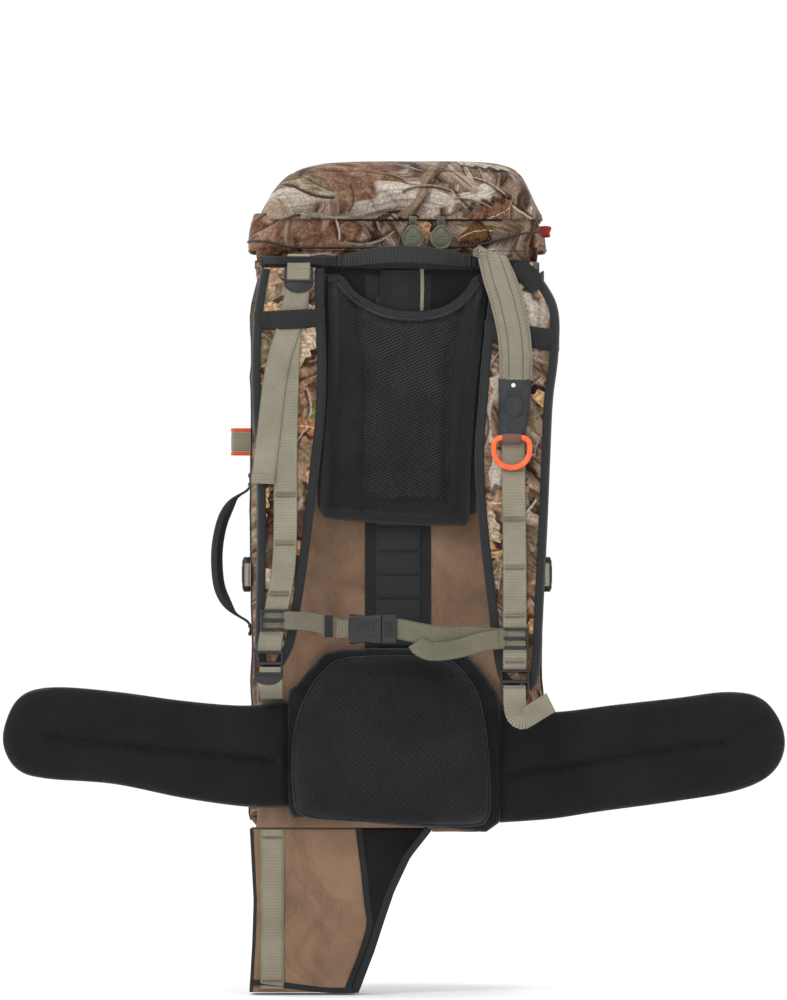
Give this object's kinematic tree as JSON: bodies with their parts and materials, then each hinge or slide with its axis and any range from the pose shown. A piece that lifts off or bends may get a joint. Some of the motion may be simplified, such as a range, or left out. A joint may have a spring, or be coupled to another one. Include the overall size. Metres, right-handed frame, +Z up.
{
  "type": "hunting backpack",
  "caption": "Internal-frame hunting backpack with a zipped lid, a rifle sleeve behind the harness, a fold-down butt boot, padded shoulder straps and a winged hip belt.",
  "frame": {"origin": "the top of the grab handle, where the pack hangs from a hook or a hand", "axes": "+Z up, +X to the right of a person looking at the harness, -Y towards that person and the wearer's back; metres"},
  "size_m": [0.8248, 0.409, 0.881],
  "materials": {
    "camouflage_cloth": "printed brushed cloth in a bark, twig and leaf camouflage",
    "brown_cloth": "plain brown woven cloth",
    "black_mesh": "black spacer mesh",
    "black_webbing": "black woven webbing and lining cloth",
    "olive_webbing": "grey-green woven webbing and cord",
    "black_plastic": "moulded acetal, satin",
    "grey_rubber": "moulded soft grip",
    "orange_plastic": "moulded orange ring",
    "orange_edged_webbing": "folded grey-green tab with orange edges",
    "stay_aluminium": "drawn rod",
    "frame_plastic": "white polyethylene sheet"
  },
  "bodies": {
    "pack": {"back_panel": "brown_cloth", "base_panel": "camouflage_cloth", "belt_core": "black_mesh", "collar": "black_webbing", "cord_lock_body": "black_plastic", "drawcord": "olive_webbing", "frame_sheet": "frame_plastic", "frame_stay": "stay_aluminium", "front_panel": "camouflage_cloth", "front_pocket": "camouflage_cloth", "lid_socket_left": "black_plastic", "lid_socket_right": "black_plastic", "lifter_web_left": "olive_webbing", "lifter_web_right": "olive_webbing", "lower_web_left": "olive_webbing", "lower_web_right": "olive_webbing", "lumbar_pad": "black_mesh", "side_handle": "black_webbing", "side_loop": "orange_edged_webbing", "side_panel_left": "camouflage_cloth", "side_panel_right": "camouflage_cloth", "side_strap_left": "black_plastic", "side_strap_right": "black_plastic", "sleeve_front": "brown_cloth", "sleeve_top_band": "black_webbing", "torso_ladder": "black_webbing"},
    "lid": {"lid_skirt": "camouflage_cloth", "lid_pocket": "camouflage_cloth", "lid_strap_left": "olive_webbing", "lid_strap_right": "olive_webbing"},
    "lid_slider_left": {"lid_slider_left": "olive_webbing"},
    "lid_slider_right": {"lid_slider_right": "olive_webbing"},
    "grab_handle": {"grab_handle": "black_webbing"},
    "back_pad": {"upper_back_pad": "black_mesh"},
    "shoulder_straps": {"shoulder_strap_left": "camouflage_cloth", "shoulder_strap_right": "camouflage_cloth", "strap_webbing_left": "olive_webbing", "strap_webbing_right": "olive_webbing", "lifter_lock_left": "black_plastic", "strap_lock_left": "black_plastic", "strap_lock_right": "black_plastic", "pull_strap": "olive_webbing", "pull_tab": "grey_rubber"},
    "pull_ring": {"pull_ring": "orange_plastic"},
    "sternum_strap": {"sternum_slider_left": "black_plastic", "sternum_slider_right": "black_plastic", "sternum_socket": "black_plastic", "sternum_web_right": "olive_webbing"},
    "sternum_clip": {"sternum_clip": "black_plastic"},
    "wing_left": {"belt_wing_left": "black_mesh"},
    "wing_right": {"belt_wing_right": "black_mesh"},
    "belt_strap_left": {"belt_strap_left": "black_plastic"},
    "belt_strap_right": {"belt_strap_right": "black_plastic"},
    "boot": {"boot_shell": "brown_cloth", "boot_front": "brown_cloth", "boot_mesh": "black_mesh"},
    "side_clip_left": {"side_clip_left": "black_plastic"},
    "side_clip_right": {"side_clip_right": "black_plastic"},
    "front_zip_slider": {"front_zip_slider": "black_plastic"},
    "cord_button": {"cord_lock_button": "black_plastic"}
  },
  "joints": [
    {"name": "lid_hinge", "type": "hinge", "parent": "pack", "child": "lid", "pos_m": [0, 0.03, 0], "axis": [1, 0, 0], "range_deg": [0, 65]},
    {"name": "lid_zip_left", "type": "slide", "parent": "lid", "child": "lid_slider_left", "axis": [1, 0, 0], "range_m": [-0.13, 0]},
    {"name": "lid_zip_right", "type": "slide", "parent": "lid", "child": "lid_slider_right", "axis": [1, 0, 0], "range_m": [0, 0.08]},
    {"name": "grab_handle_lift", "type": "hinge", "parent": "pack", "child": "grab_handle", "pos_m": [0.008, -0.0195, -0.0025], "axis": [-1, 0, 0], "range_deg": [0, 45]},
    {"name": "torso_length", "type": "slide", "parent": "pack", "child": "back_pad", "axis": [0, 0, 1], "range_m": [-0.05, 0], "deforming": ["lower_web_left", "lower_web_right", "lifter_web_left", "lifter_web_right"]},
    {"name": "shoulder_straps_swing", "type": "hinge", "parent": "back_pad", "child": "shoulder_straps", "pos_m": [0, -0.0295, -0.017], "axis": [-1, 0, 0], "range_deg": [0, 28], "deforming": ["lower_web_left", "lower_web_right", "lifter_web_left", "lifter_web_right"]},
    {"name": "pull_ring_hinge", "type": "hinge", "parent": "shoulder_straps", "child": "pull_ring", "pos_m": [0.121, -0.08431, -0.19946], "axis": [-1, 0, 0], "range_deg": [0, 100]},
    {"name": "sternum_height", "type": "slide", "parent": "shoulder_straps", "child": "sternum_strap", "axis": [0, 0, 1], "range_m": [-0.01, 0.03]},
    {"name": "sternum_release", "type": "slide", "parent": "sternum_strap", "child": "sternum_clip", "axis": [1, 0, 0], "range_m": [0, 0.025], "deforming": ["sternum_web_right"]},
    {"name": "belt_wing_left_fold", "type": "hinge", "parent": "pack", "child": "wing_left", "pos_m": [-0.125, -0.028, -0.535], "axis": [0, 0, 1], "range_deg": [0, 50], "stiffness_Nm_per_rad": 0.3},
    {"name": "belt_wing_right_fold", "type": "hinge", "parent": "pack", "child": "wing_right", "pos_m": [0.119, -0.028, -0.546], "axis": [0, 0, -1], "range_deg": [0, 50], "stiffness_Nm_per_rad": 0.3},
    {"name": "belt_strap_left_unfold", "type": "hinge", "parent": "wing_left", "child": "belt_strap_left", "pos_m": [-0.395, -0.0125, -0.516], "axis": [0, 0, 1], "range_deg": [0, 175]},
    {"name": "belt_strap_right_unfold", "type": "hinge", "parent": "wing_right", "child": "belt_strap_right", "pos_m": [0.389, -0.0125, -0.521], "axis": [0, 0, -1], "range_deg": [0, 175]},
    {"name": "boot_fold", "type": "hinge", "parent": "pack", "child": "boot", "pos_m": [-0.06, 0.041, -0.6185], "axis": [1, 0, 0], "range_deg": [0, 88]},
    {"name": "side_strap_left_release", "type": "slide", "parent": "pack", "child": "side_clip_left", "axis": [0, 1, 0], "range_m": [0, 0.025]},
    {"name": "side_strap_right_release", "type": "slide", "parent": "pack", "child": "side_clip_right", "axis": [0, 1, 0], "range_m": [0, 0.025]},
    {"name": "front_zip", "type": "slide", "parent": "pack", "child": "front_zip_slider", "axis": [1, 0, 0], "range_m": [0, 0.18]},
    {"name": "cord_lock_press", "type": "slide", "parent": "pack", "child": "cord_button", "axis": [1, 0, 0], "range_m": [-0.0035, 0], "stiffness_N_per_m": 300}
  ]
}
